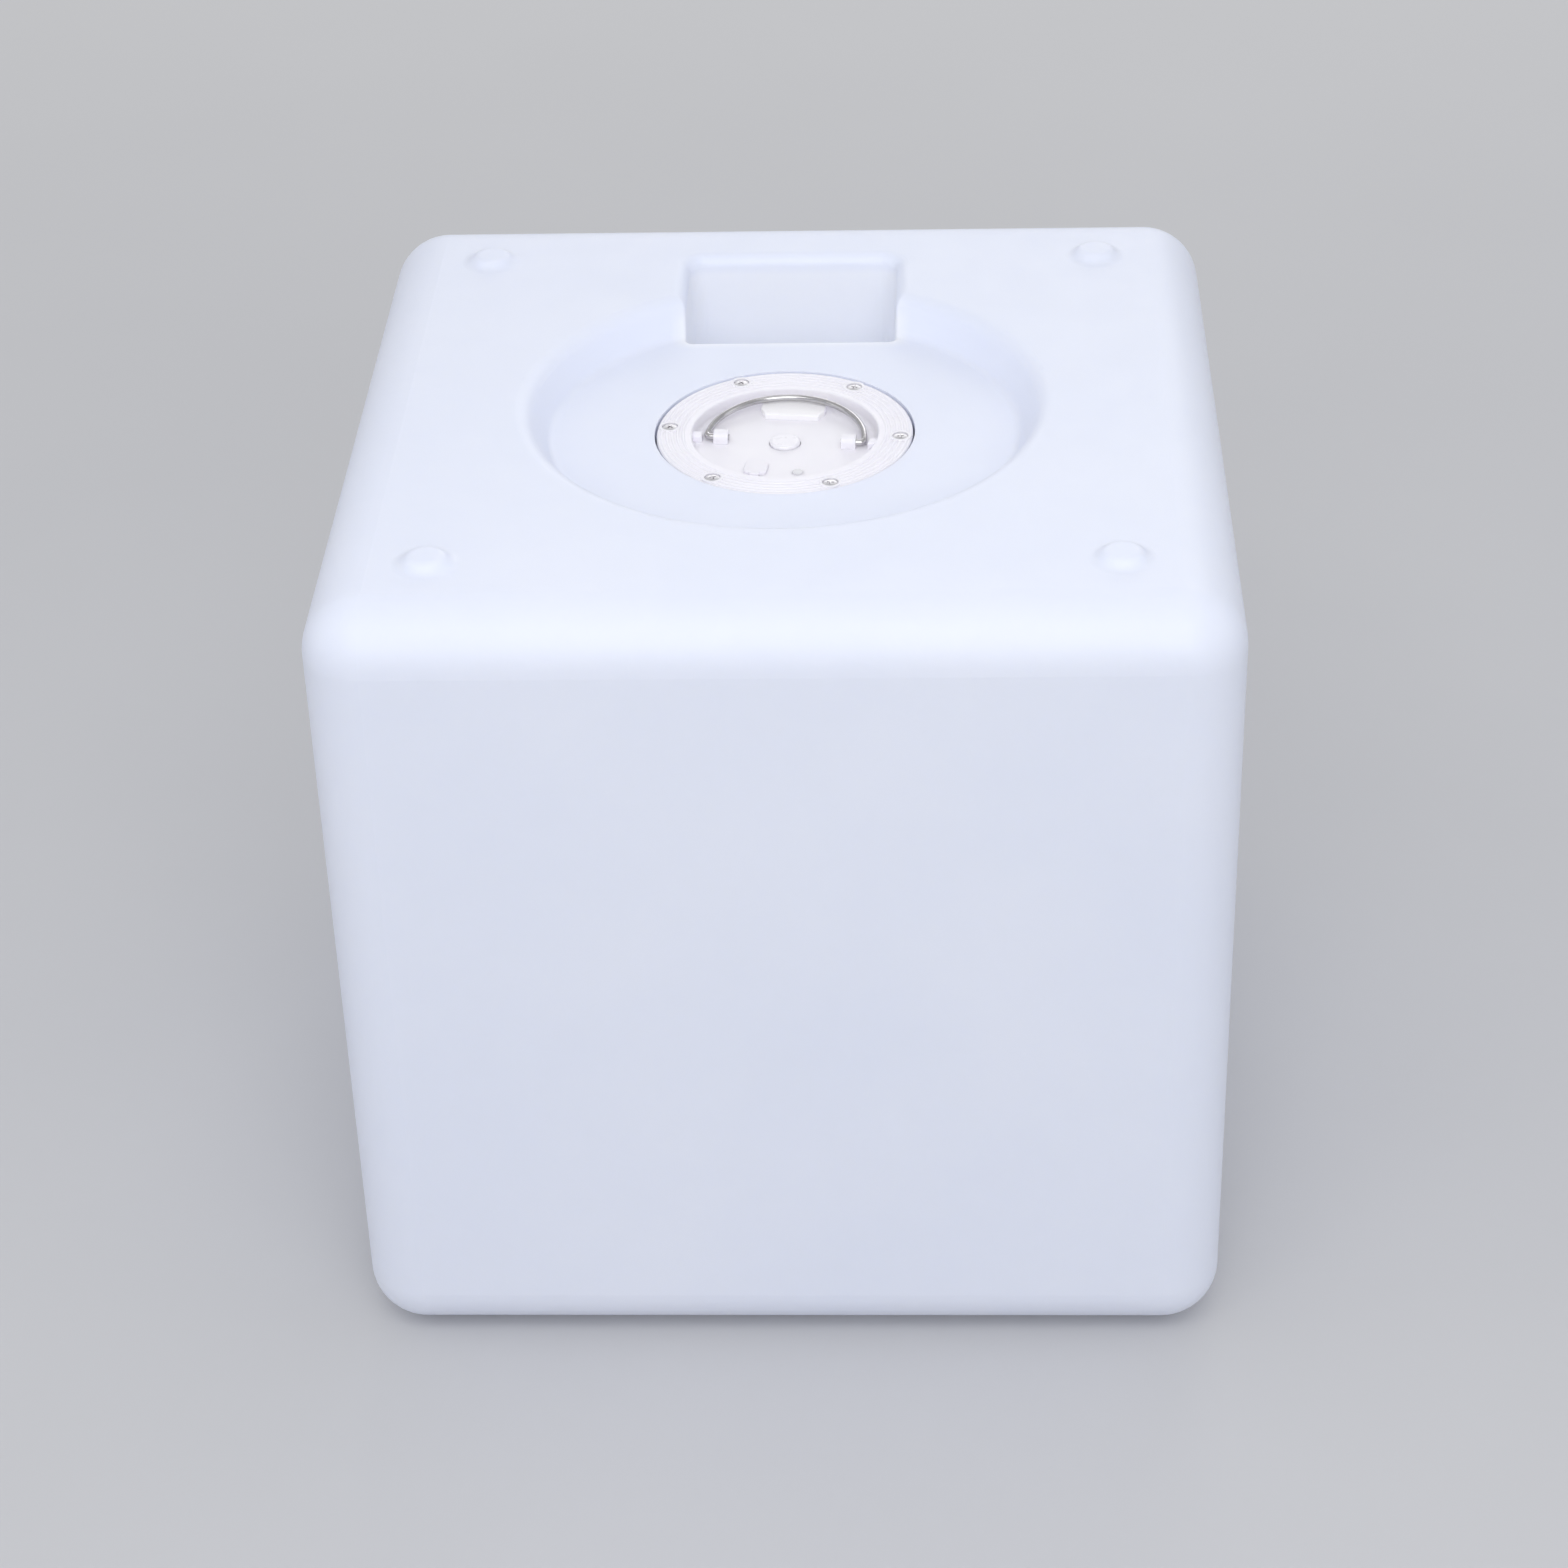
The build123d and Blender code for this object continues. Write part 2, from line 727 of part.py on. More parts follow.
def make_battery_cells():
    """Two cylindrical cells side by side, each with its positive tip."""
    cells = []
    for side in (-1, 1):
        cell = cell_bar(cell_radius, cell_length, side)
        ends = [edge for edge in cell.edges() if edge.geom_type == GeomType.CIRCLE]
        cell = fillet(ends, cell_edge_round)
        tip = Pos(side * cell_length / 2, 0, 0) * cell_bar(cell_tip_radius, 2 * cell_tip, side)
        cells.append(cell + tip)
    return group(cells)


def make_battery_clamp():
    """Strap with two arches over the cells and an ear at each end."""
    outer = cell_radius + cell_gap + clamp_thickness
    arches = joined(cell_bar(outer, clamp_width, -1), [cell_bar(outer, clamp_width, 1)])
    ear_half = clamp_boss_y + clamp_ear_reach / 2
    ears = block(clamp_width, 2 * ear_half, cell_z, cell_z + clamp_thickness)
    lower = block(clamp_width + overrun, 2 * ear_half + overrun, cell_z - outer - overrun, cell_z)
    strap = arches + ears - lower
    bars = [cell_bar(cell_radius + cell_gap, clamp_width + 2 * overrun, side) for side in (-1, 1)]
    strap = cut(strap, bars)
    hole = rod(small_hole_radius, cell_z - overrun, cell_z + clamp_thickness + overrun)
    return cut(strap, [Pos(0, side * clamp_boss_y, 0) * hole for side in (-1, 1)])


def make_clamp_screws():
    """Two screws that hold the battery clamp."""
    screw = small_screw(small_screw_length, cell_z + clamp_thickness)
    return group([Pos(0, side * clamp_boss_y, 0) * screw for side in (-1, 1)])


def make_battery_lead():
    """Lead from its connector down and across to the nearer cell."""
    top = board_under_z - connector_height
    turn_z = top - lead_drop
    end_y = -cell_spacing / 2 - cell_radius - cell_gap / 2
    points = [(connector_x, connector_y, top), (connector_x, connector_y, turn_z),
              (connector_x, end_y, turn_z)]
    path = FilletPolyline(*points, radius=lead_bend)
    section = Plane(origin=path @ 0, z_dir=path % 0) * Circle(lead_radius)
    return sweep(section, path=path)


def make_led_lead():
    """Straight lead from its connector through the cup's floor to the lamp board."""
    top = board_under_z - connector_height
    return rod(led_lead_radius, housing_under_z, top, -connector_x, connector_y)


def make_led_board():
    """Round lamp board under the cup's floor."""
    board = rod(led_board_radius, led_board_under_z, housing_under_z)
    hole = rod(small_hole_radius, led_board_under_z - overrun, housing_under_z + overrun)
    return cut(board, led_spots(hole))


def make_leds():
    """Ring of surface lamps on the lamp board."""
    low = led_board_under_z - led_height
    lamp = block(led_size, led_size, low, led_board_under_z)
    lamp = chamfer(edges_at(lamp, low), led_crown)
    return group(around(lamp, led_circle_radius, led_count))


def make_led_board_screws():
    """Screws from below through the lamp board into the cup's posts."""
    screw = small_screw(led_screw_length, led_board_under_z, downward=True)
    return group(led_spots(screw))


def make_lens_seal():
    """Flat seal between the cup's floor and the dome's flange."""
    seal = ring(dome_flange_radius, led_board_radius + dome_seal_bore_gap, dome_top_z, housing_under_z)
    hole = rod(small_hole_radius, dome_top_z - overrun, housing_under_z + overrun)
    return cut(seal, around(hole, dome_screw_circle_radius, dome_screw_count))


def dome_cap(radius, height, top):
    """Solid spherical cap that bulges down from a level face."""
    sphere_radius = (radius ** 2 + height ** 2) / (2 * height)
    sphere = Pos(0, 0, top - height + sphere_radius) * Sphere(sphere_radius)
    return sphere & rod(radius + overrun, top - height - overrun, top)


def make_lens_dome():
    """Milky dome that spreads the light into the cube, with its screw flange."""
    flange_low = dome_top_z - dome_flange
    flange = rod(dome_flange_radius, flange_low, dome_top_z)
    outer = dome_cap(dome_radius, dome_height, flange_low)
    inner = dome_cap(dome_radius - dome_wall, dome_height - dome_wall, flange_low)
    dome = flange + outer - inner - rod(dome_radius - dome_wall, flange_low, dome_top_z + overrun)
    hole = rod(small_hole_radius, flange_low - overrun, dome_top_z + overrun)
    return cut(dome, around(hole, dome_screw_circle_radius, dome_screw_count))


def make_lens_screws():
    """Screws from below through the dome's flange into the cup's floor."""
    screw = small_screw(dome_screw_length, dome_top_z - dome_flange, downward=True)
    return group(around(screw, dome_screw_circle_radius, dome_screw_count))


module = {
    "threaded_inserts": make_threaded_inserts(),
    "housing_gasket": make_gasket(ledge_z, flange_seat_z),
    "module_housing": make_module_housing(),
    "cover_gasket": make_gasket(housing_top_z, cover_seat_z),
    "cover_plate": make_cover_plate(),
    "cover_screws": make_cover_screws(),
    "carry_handle": make_carry_handle(),
    "power_button": make_power_button(),
    "button_seal": make_button_seal(),
    "switch_body": make_switch_body(),
    "switch_plunger": make_switch_plunger(),
    "charge_socket": make_charge_socket(),
    "charge_port_plug": make_charge_port_plug(),
    "charge_indicator_lens": make_charge_indicator_lens(),
    "indicator_led": make_indicator_led(),
    "control_board": make_control_board(),
    "board_screws": make_board_screws(),
    "board_connectors": make_board_connectors(),
    "battery_cells": make_battery_cells(),
    "battery_clamp": make_battery_clamp(),
    "clamp_screws": make_clamp_screws(),
    "battery_lead": make_battery_lead(),
    "led_lead": make_led_lead(),
    "led_board": make_led_board(),
    "leds": make_leds(),
    "led_board_screws": make_led_board_screws(),
    "lens_seal": make_lens_seal(),
    "lens_dome": make_lens_dome(),
    "lens_screws": make_lens_screws(),
}

os.makedirs("parts", exist_ok=True)
export_step(make_body_shell(), "parts/body_shell.step")
for node, shape in module.items():
    turned_solids = [Rot(0, 0, module_turn) * solid for solid in shape.solids()]
    export_step(Compound(turned_solids), f"parts/{node}.step")
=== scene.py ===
import math

import bpy
from mathutils import Matrix, Vector


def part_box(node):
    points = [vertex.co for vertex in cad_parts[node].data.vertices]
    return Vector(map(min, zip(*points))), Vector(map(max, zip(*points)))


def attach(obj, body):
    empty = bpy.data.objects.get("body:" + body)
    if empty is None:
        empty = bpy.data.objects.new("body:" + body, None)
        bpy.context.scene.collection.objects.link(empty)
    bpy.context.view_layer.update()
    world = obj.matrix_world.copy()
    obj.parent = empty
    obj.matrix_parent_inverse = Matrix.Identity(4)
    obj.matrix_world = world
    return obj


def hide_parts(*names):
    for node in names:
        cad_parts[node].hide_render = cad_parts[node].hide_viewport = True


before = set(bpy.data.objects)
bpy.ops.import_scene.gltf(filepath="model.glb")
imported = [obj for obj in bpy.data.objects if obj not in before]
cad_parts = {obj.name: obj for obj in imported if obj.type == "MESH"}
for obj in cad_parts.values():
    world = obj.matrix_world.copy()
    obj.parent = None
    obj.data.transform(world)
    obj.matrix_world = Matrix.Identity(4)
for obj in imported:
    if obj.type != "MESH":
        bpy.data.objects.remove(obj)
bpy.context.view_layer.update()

# Light-up cube stool, turned over: the base face with its recess, hand grip, feet and
# light module looks up. Everything is in metres.

scene = bpy.context.scene
scene.view_settings.view_transform = "Standard"


# Camera, as the photograph was taken
cameraSet = {
    "place": (0.066853, -1.504584, 1.176620),
    "lens": 84.727,
    "sensorWidth": 36,
    "tiltDown": 33.459,
    "turn": 2.753,
    "roll": -1.816,
}


def addCamera(settings):
    data = bpy.data.cameras.new("photoCamera")
    data.sensor_width = settings["sensorWidth"]
    data.lens = settings["lens"]
    camera = bpy.data.objects.new("photoCamera", data)
    scene.collection.objects.link(camera)
    turn = Matrix.Rotation(math.radians(settings["turn"]), 4, "Z")
    tilt = Matrix.Rotation(math.radians(90 - settings["tiltDown"]), 4, "X")
    roll = Matrix.Rotation(math.radians(settings["roll"]), 4, "Z")
    camera.matrix_world = Matrix.Translation(settings["place"]) @ turn @ tilt @ roll
    scene.camera = camera


addCamera(cameraSet)
print("camera set")


# Lamps: a large softbox in front, a small one near the front edge, weak ones round about;
# the world's even fill keeps the recess nearly as bright as the base face
lampSet = {
    "frontBox": {"place": (0.2, -2.5, 1.75), "size": (1.8, 1.2), "power": 18.5},
    "nearBox": {"place": (-0.05, -0.78, 1.38), "size": (1.1, 0.4), "power": 3.3},
    "topBox": {"place": (0.1, 0.35, 2.7), "size": (0.9, 0.7), "power": 1.5},
    "leftBox": {"place": (-2.4, -0.4, 1.5), "size": (1.2, 1.6), "power": 3.2},
    "rightBox": {"place": (2.4, -0.2, 1.5), "size": (1.2, 1.6), "power": 2.6},
    "backBox": {"place": (0.3, 2.6, 1.4), "size": (1.8, 1.2), "power": 9.5},
}
lampAim = (0, 0, 0.25)


def addLamp(name, settings):
    bpy.ops.object.light_add(type="AREA", location=settings["place"])
    lamp = bpy.context.object
    lamp.name = name
    lamp.data.shape = "RECTANGLE"
    lamp.data.size, lamp.data.size_y = settings["size"]
    lamp.data.energy = settings["power"]
    aim = Vector(lampAim) - lamp.location
    lamp.rotation_euler = aim.to_track_quat("-Z", "Y").to_euler()
    lamp.visible_camera = False


for name, settings in lampSet.items():
    addLamp(name, settings)


worldSet = {
    "fill": (0.626, 0.634, 0.664),  # lights the stool
    "backdrop": (0.580, 0.583, 0.595),  # is what shows behind it and in its gloss
}


# Each value is a number or a node's output
def mathOf(tree, operation, first, second=None):
    node = tree.nodes.new("ShaderNodeMath")
    node.operation = operation
    for socket, value in zip(node.inputs, (first, second)):
        if isinstance(value, (int, float)):
            socket.default_value = value
        elif value is not None:
            tree.links.new(value, socket)
    return node.outputs[0]


# 1 for rays that look at a surface straight, in a mirror or through glass
def seenRay(tree):
    rays = tree.nodes.new("ShaderNodeLightPath").outputs
    mirrored = mathOf(tree, "MAXIMUM", rays["Is Glossy Ray"], rays["Is Transmission Ray"])
    return mathOf(tree, "MAXIMUM", rays["Is Camera Ray"], mirrored)


def setWorld(settings):
    world = bpy.data.worlds.new("studioWorld")
    scene.world = world
    world.use_nodes = True
    tree = world.node_tree
    tree.nodes.clear()
    out = tree.nodes.new("ShaderNodeOutputWorld")
    mixer = tree.nodes.new("ShaderNodeMixShader")
    tree.links.new(seenRay(tree), mixer.inputs["Fac"])
    for index, part in ((1, "fill"), (2, "backdrop")):  # the mixer's second and third inputs
        light = tree.nodes.new("ShaderNodeBackground")
        light.inputs["Color"].default_value = (*settings[part], 1)
        tree.links.new(light.outputs[0], mixer.inputs[index])
    tree.links.new(mixer.outputs[0], out.inputs["Surface"])


setWorld(worldSet)
print("lamps and world set")


moduleTurn = -5.8  # degrees by which the light module is turned to the shell
noiseSpan = (0.3, 0.7)  # nearly all of a noise lies between these
cloudSpan = (0.32, 0.68)
tarnishSpan = (0.35, 0.7)


# Small helpers for the materials' nodes
def startMaterial(name):
    material = bpy.data.materials.new(name)
    material.use_nodes = True
    tree = material.node_tree
    tree.nodes.clear()
    out = tree.nodes.new("ShaderNodeOutputMaterial")
    shader = tree.nodes.new("ShaderNodeBsdfPrincipled")
    tree.links.new(shader.outputs[0], out.inputs["Surface"])
    return material, tree, shader


# Places on the piece itself, stretched, or turned in degrees
def objectPlace(tree, stretch=(1, 1, 1), turn=(0, 0, 0)):
    coordinate = tree.nodes.new("ShaderNodeTexCoord")
    mapping = tree.nodes.new("ShaderNodeMapping")
    mapping.inputs["Scale"].default_value = stretch
    mapping.inputs["Rotation"].default_value = [math.radians(part) for part in turn]
    tree.links.new(coordinate.outputs["Object"], mapping.inputs["Vector"])
    return mapping.outputs[0]


def noiseOf(tree, place, scale, detail=2.0, roughness=0.5):
    noise = tree.nodes.new("ShaderNodeTexNoise")
    noise.inputs["Scale"].default_value = scale
    noise.inputs["Detail"].default_value = detail
    noise.inputs["Roughness"].default_value = roughness
    tree.links.new(place, noise.inputs["Vector"])
    return noise.outputs["Fac"]


# Turns low to high into outLow to outHigh
def rangeOf(tree, value, low, high, outLow, outHigh):
    mapper = tree.nodes.new("ShaderNodeMapRange")
    mapper.inputs["From Min"].default_value = low
    mapper.inputs["From Max"].default_value = high
    mapper.inputs["To Min"].default_value = outLow
    mapper.inputs["To Max"].default_value = outHigh
    tree.links.new(value, mapper.inputs["Value"])
    return mapper.outputs[0]


# Goes from the first colour, or a node's output, to the second colour
def mixColour(tree, value, first, second):
    mixer = tree.nodes.new("ShaderNodeMix")
    mixer.data_type = "RGBA"
    if isinstance(first, tuple):
        mixer.inputs["A"].default_value = (*first, 1)
    else:
        tree.links.new(first, mixer.inputs["A"])
    mixer.inputs["B"].default_value = (*second, 1)
    tree.links.new(value, mixer.inputs["Factor"])
    return mixer.outputs["Result"]


def bumpFrom(tree, height, depth, before=None):
    bump = tree.nodes.new("ShaderNodeBump")
    bump.inputs["Strength"].default_value = 1
    bump.inputs["Distance"].default_value = depth
    tree.links.new(height, bump.inputs["Height"])
    if before:
        tree.links.new(before, bump.inputs["Normal"])
    return bump.outputs[0]


# 1 inside an upright block of the piece, fading over its edge
def patchMask(tree, patch):
    parts = tree.nodes.new("ShaderNodeSeparateXYZ")
    tree.links.new(objectPlace(tree, turn=(0, 0, patch["turn"])), parts.inputs[0])
    mask = None
    for axis in "XYZ":
        low, high = patch[axis]
        inside = rangeOf(tree, parts.outputs[axis], low - patch["edge"], low, 0, 1)
        until = rangeOf(tree, parts.outputs[axis], high, high + patch["edge"], 1, 0)
        inside = mathOf(tree, "MULTIPLY", inside, until)
        mask = mathOf(tree, "MULTIPLY", mask, inside) if mask else inside
    return mask


# Moulded plastics: clouded colour, fine grain and softly uneven gloss
def mouldedPlastic(name, settings):
    material, tree, shader = startMaterial(name)
    place = objectPlace(tree)
    cloud = noiseOf(tree, place, settings["cloudScale"], detail=3, roughness=0.55)
    cloud = rangeOf(tree, cloud, *cloudSpan, 0, 1)
    colour = mixColour(tree, cloud, settings["colour"], settings["clouded"])
    # painted light: a patch paints a paler tone over one block of the piece
    if "patch" in settings:
        patch = settings["patch"]
        colour = mixColour(tree, patchMask(tree, patch), colour, patch["colour"])
    tree.links.new(colour, shader.inputs["Base Color"])
    gloss = noiseOf(tree, place, settings["glossScale"], detail=4, roughness=0.6)
    gloss = rangeOf(tree, gloss, *noiseSpan, settings["roughLow"], settings["roughHigh"])
    tree.links.new(gloss, shader.inputs["Roughness"])
    waves = noiseOf(tree, place, settings["waveScale"], detail=1, roughness=0.4)
    grain = noiseOf(tree, place, settings["grainScale"], detail=2, roughness=0.6)
    normal = bumpFrom(tree, waves, settings["waveDepth"])
    normal = bumpFrom(tree, grain, settings["grainDepth"], normal)
    tree.links.new(normal, shader.inputs["Normal"])
    shader.inputs["IOR"].default_value = settings["ior"]
    if "glow" in settings:
        shader.subsurface_method = "RANDOM_WALK"
        shader.inputs["Subsurface Weight"].default_value = settings["glow"]
        shader.inputs["Subsurface Radius"].default_value = settings["glowRadius"]
        shader.inputs["Subsurface Scale"].default_value = settings["glowScale"]
    return material


shellSet = {
    "colour": (0.812, 0.846, 0.985),
    "clouded": (0.790, 0.828, 0.972),
    "cloudScale": 9,
    "glossScale": 60,
    "roughLow": 0.40,
    "roughHigh": 0.52,
    "waveScale": 170,
    "waveDepth": 0.00006,
    "grainScale": 1400,
    "grainDepth": 0.000012,
    "glow": 0.45,
    "glowRadius": (1.0, 1.02, 1.10),
    "glowScale": 0.0035,
    "ior": 1.51,
}
pocketPaintedLight = {  # painted light: a paler tone inside the hand-grip pocket, lifting its shade
    "turn": 0,
    "X": (-0.050, 0.050),
    "Y": (0.092, 0.150),
    "Z": (0.335, 0.383),
    "edge": 0.008,
    "colour": (0.892, 0.914, 0.992),
}
coverSet = {
    "colour": (0.904, 0.887, 0.952),
    "clouded": (0.884, 0.867, 0.936),
    "cloudScale": 45,
    "glossScale": 220,
    "roughLow": 0.30,
    "roughHigh": 0.42,
    "waveScale": 500,
    "waveDepth": 0.000012,
    "grainScale": 3800,
    "grainDepth": 0.000006,
    "glow": 0.6,
    "glowRadius": (1.0, 1.0, 1.05),
    "glowScale": 0.003,
    "ior": 1.5,
}
restPaintedLight = {  # painted light: the top of the handle's rest is painted a little paler and creamier than the cover round it, for the light it catches
    "turn": -moduleTurn,
    "X": (-0.0145, 0.0145),
    "Y": (0.0225, 0.0402),
    "Z": (0.3699, 0.3724),
    "edge": 0.0004,
    "colour": (0.926, 0.910, 0.926),
}
buttonSet = {**coverSet, "colour": (0.905, 0.890, 0.952), "roughLow": 0.24, "roughHigh": 0.34}
plugSet = {
    **coverSet,
    "colour": (0.910, 0.892, 0.950),
    "clouded": (0.890, 0.872, 0.933),
    "roughLow": 0.50,
    "roughHigh": 0.62,
    "grainScale": 2600,
    "glow": 0.3,
}
cupSet = {
    **coverSet,
    "colour": (0.800, 0.800, 0.815),
    "clouded": (0.765, 0.765, 0.785),
    "glow": 0.1,
}
domeSet = {
    **coverSet,
    "colour": (0.850, 0.855, 0.870),
    "clouded": (0.815, 0.820, 0.840),
    "cloudScale": 30,
    "glowScale": 0.006,
}
rubberSet = {
    "colour": (0.075, 0.075, 0.080),
    "clouded": (0.110, 0.108, 0.110),
    "cloudScale": 80,
    "glossScale": 300,
    "roughLow": 0.62,
    "roughHigh": 0.80,
    "waveScale": 600,
    "waveDepth": 0.00001,
    "grainScale": 5000,
    "grainDepth": 0.000008,
    "ior": 1.5,
}
sealSet = {  # white silicone, a little of which shows in the gap round the cover
    **rubberSet,
    "colour": (0.660, 0.670, 0.710),
    "clouded": (0.620, 0.630, 0.670),
}
switchSet = {
    **rubberSet,
    "colour": (0.028, 0.028, 0.031),
    "clouded": (0.045, 0.045, 0.048),
    "roughLow": 0.34,
    "roughHigh": 0.48,
}
connectorSet = {
    **rubberSet,
    "colour": (0.800, 0.790, 0.740),
    "clouded": (0.760, 0.745, 0.690),
    "roughLow": 0.38,
    "roughHigh": 0.50,
}


# Metals: a drawn or turned finish with fine streaks round the module's middle
def drawnMetal(name, settings):
    material, tree, shader = startMaterial(name)
    place = objectPlace(tree)
    parts = tree.nodes.new("ShaderNodeSeparateXYZ")
    tree.links.new(place, parts.inputs[0])
    squareX = mathOf(tree, "POWER", parts.outputs["X"], 2.0)
    squareY = mathOf(tree, "POWER", parts.outputs["Y"], 2.0)
    reach = mathOf(tree, "SQRT", mathOf(tree, "ADD", squareX, squareY))
    angle = mathOf(tree, "ARCTAN2", parts.outputs["Y"], parts.outputs["X"])
    along = mathOf(tree, "MULTIPLY", angle, settings["alongShare"])
    joined = tree.nodes.new("ShaderNodeCombineXYZ")
    tree.links.new(reach, joined.inputs["X"])
    tree.links.new(along, joined.inputs["Y"])
    tree.links.new(parts.outputs["Z"], joined.inputs["Z"])
    streaks = noiseOf(tree, joined.outputs[0], settings["streakScale"], detail=3, roughness=0.6)
    tarnish = noiseOf(tree, place, settings["tarnishScale"], detail=4, roughness=0.6)
    tarnish = rangeOf(tree, tarnish, *tarnishSpan, 0, 1)
    colour = mixColour(tree, tarnish, settings["colour"], settings["tarnished"])
    tree.links.new(colour, shader.inputs["Base Color"])
    gloss = rangeOf(tree, streaks, *noiseSpan, settings["roughLow"], settings["roughHigh"])
    tree.links.new(gloss, shader.inputs["Roughness"])
    tree.links.new(bumpFrom(tree, streaks, settings["streakDepth"]), shader.inputs["Normal"])
    shader.inputs["Metallic"].default_value = 1
    return material


wireSet = {
    "colour": (0.62, 0.61, 0.62),
    "tarnished": (0.50, 0.49, 0.50),
    "roughLow": 0.10,
    "roughHigh": 0.20,
    "streakScale": 5200,
    "streakDepth": 0.000003,
    "alongShare": 0.002,
    "tarnishScale": 140,
}
darkScrewSet = {
    **wireSet,
    "colour": (0.75, 0.74, 0.76),
    "tarnished": (0.57, 0.56, 0.58),
    "roughLow": 0.28,
    "roughHigh": 0.42,
    "tarnishScale": 500,
    "alongShare": 0.02,
}
brightScrewSet = {
    **darkScrewSet,
    "colour": (0.62, 0.62, 0.61),
    "tarnished": (0.50, 0.50, 0.49),
}
brassSet = {
    **darkScrewSet,
    "colour": (0.72, 0.52, 0.22),
    "tarnished": (0.56, 0.38, 0.15),
}


# Circuit board lacquer with copper tracks under it
def boardLacquer(name, settings):
    material, tree, shader = startMaterial(name)
    place = objectPlace(tree, turn=(0, 0, settings["turn"]))
    tracks = tree.nodes.new("ShaderNodeTexBrick")
    tracks.offset = settings["trackOffset"]
    tracks.squash = settings["trackSquash"]
    tracks.inputs["Scale"].default_value = settings["trackScale"]
    tracks.inputs["Mortar Size"].default_value = settings["trackWidth"]
    tracks.inputs["Mortar Smooth"].default_value = settings["trackBlur"]
    tree.links.new(place, tracks.inputs["Vector"])
    dots = tree.nodes.new("ShaderNodeTexVoronoi")
    dots.inputs["Scale"].default_value = settings["padScale"]
    dots.inputs["Randomness"].default_value = settings["padSpread"]
    tree.links.new(place, dots.inputs["Vector"])
    pads = rangeOf(tree, dots.outputs["Distance"], *settings["padEdge"], 1, 0)
    cloud = noiseOf(tree, place, settings["cloudScale"], detail=3)
    cloud = rangeOf(tree, cloud, *noiseSpan, 0, 1)
    colour = mixColour(tree, cloud, settings["colour"], settings["clouded"])
    faint = mathOf(tree, "MULTIPLY", tracks.outputs["Fac"], settings["trackShare"])
    colour = mixColour(tree, faint, colour, settings["track"])
    colour = mixColour(tree, pads, colour, settings["pad"])
    tree.links.new(colour, shader.inputs["Base Color"])
    gloss = noiseOf(tree, place, settings["glossScale"], detail=3)
    gloss = rangeOf(tree, gloss, *noiseSpan, settings["roughLow"], settings["roughHigh"])
    tree.links.new(gloss, shader.inputs["Roughness"])
    raised = bumpFrom(tree, tracks.outputs["Fac"], settings["trackDepth"])
    tree.links.new(bumpFrom(tree, pads, settings["padDepth"], raised), shader.inputs["Normal"])
    return material


greenBoardSet = {
    "colour": (0.018, 0.135, 0.062),
    "clouded": (0.014, 0.110, 0.052),
    "track": (0.045, 0.230, 0.110),
    "pad": (0.62, 0.61, 0.58),
    "cloudScale": 90,
    "glossScale": 400,
    "roughLow": 0.26,
    "roughHigh": 0.40,
    "trackScale": 140,
    "trackOffset": 0.37,
    "trackSquash": 1.6,
    "trackWidth": 0.03,
    "trackBlur": 0.2,
    "trackShare": 0.6,
    "trackDepth": 0.00002,
    "padScale": 210,
    "padSpread": 0.8,
    "padEdge": (0.10, 0.14),
    "padDepth": 0.00003,
    "turn": 0,
}
whiteBoardSet = {
    **greenBoardSet,
    "colour": (0.800, 0.800, 0.790),
    "clouded": (0.770, 0.770, 0.755),
    "track": (0.690, 0.690, 0.670),
    "turn": 45,
}


# Shrink wrap of the cells, with a paler band at one end
def cellWrap(name, settings):
    material, tree, shader = startMaterial(name)
    place = objectPlace(tree)
    parts = tree.nodes.new("ShaderNodeSeparateXYZ")
    tree.links.new(place, parts.inputs[0])
    end = mathOf(tree, "ABSOLUTE", parts.outputs["X"])
    bandTo = settings["bandFrom"] + settings["bandBlur"]
    band = rangeOf(tree, end, settings["bandFrom"], bandTo, 0, 1)
    cloud = noiseOf(tree, place, settings["cloudScale"], detail=3)
    cloud = rangeOf(tree, cloud, *noiseSpan, 0, 1)
    colour = mixColour(tree, cloud, settings["colour"], settings["clouded"])
    colour = mixColour(tree, band, colour, settings["band"])
    tree.links.new(colour, shader.inputs["Base Color"])
    lengthwise = objectPlace(tree, stretch=settings["wrinkleStretch"])
    wrinkles = noiseOf(tree, lengthwise, settings["wrinkleScale"], detail=3)
    tree.links.new(bumpFrom(tree, wrinkles, settings["wrinkleDepth"]), shader.inputs["Normal"])
    gloss = rangeOf(tree, wrinkles, *noiseSpan, settings["roughLow"], settings["roughHigh"])
    tree.links.new(gloss, shader.inputs["Roughness"])
    return material


cellSet = {
    "colour": (0.050, 0.150, 0.420),
    "clouded": (0.040, 0.125, 0.360),
    "band": (0.62, 0.62, 0.63),
    "bandFrom": 0.0285,
    "bandBlur": 0.0004,
    "cloudScale": 120,
    "wrinkleScale": 900,
    "wrinkleStretch": (0.25, 1, 1),
    "wrinkleDepth": 0.00002,
    "roughLow": 0.22,
    "roughHigh": 0.36,
}


# Lead jackets: glossy vinyl
leadSet = {
    **rubberSet,
    "colour": (0.520, 0.035, 0.030),
    "clouded": (0.450, 0.028, 0.024),
    "roughLow": 0.30,
    "roughHigh": 0.44,
}
greyLeadSet = {**leadSet, "colour": (0.330, 0.335, 0.345), "clouded": (0.290, 0.295, 0.305)}


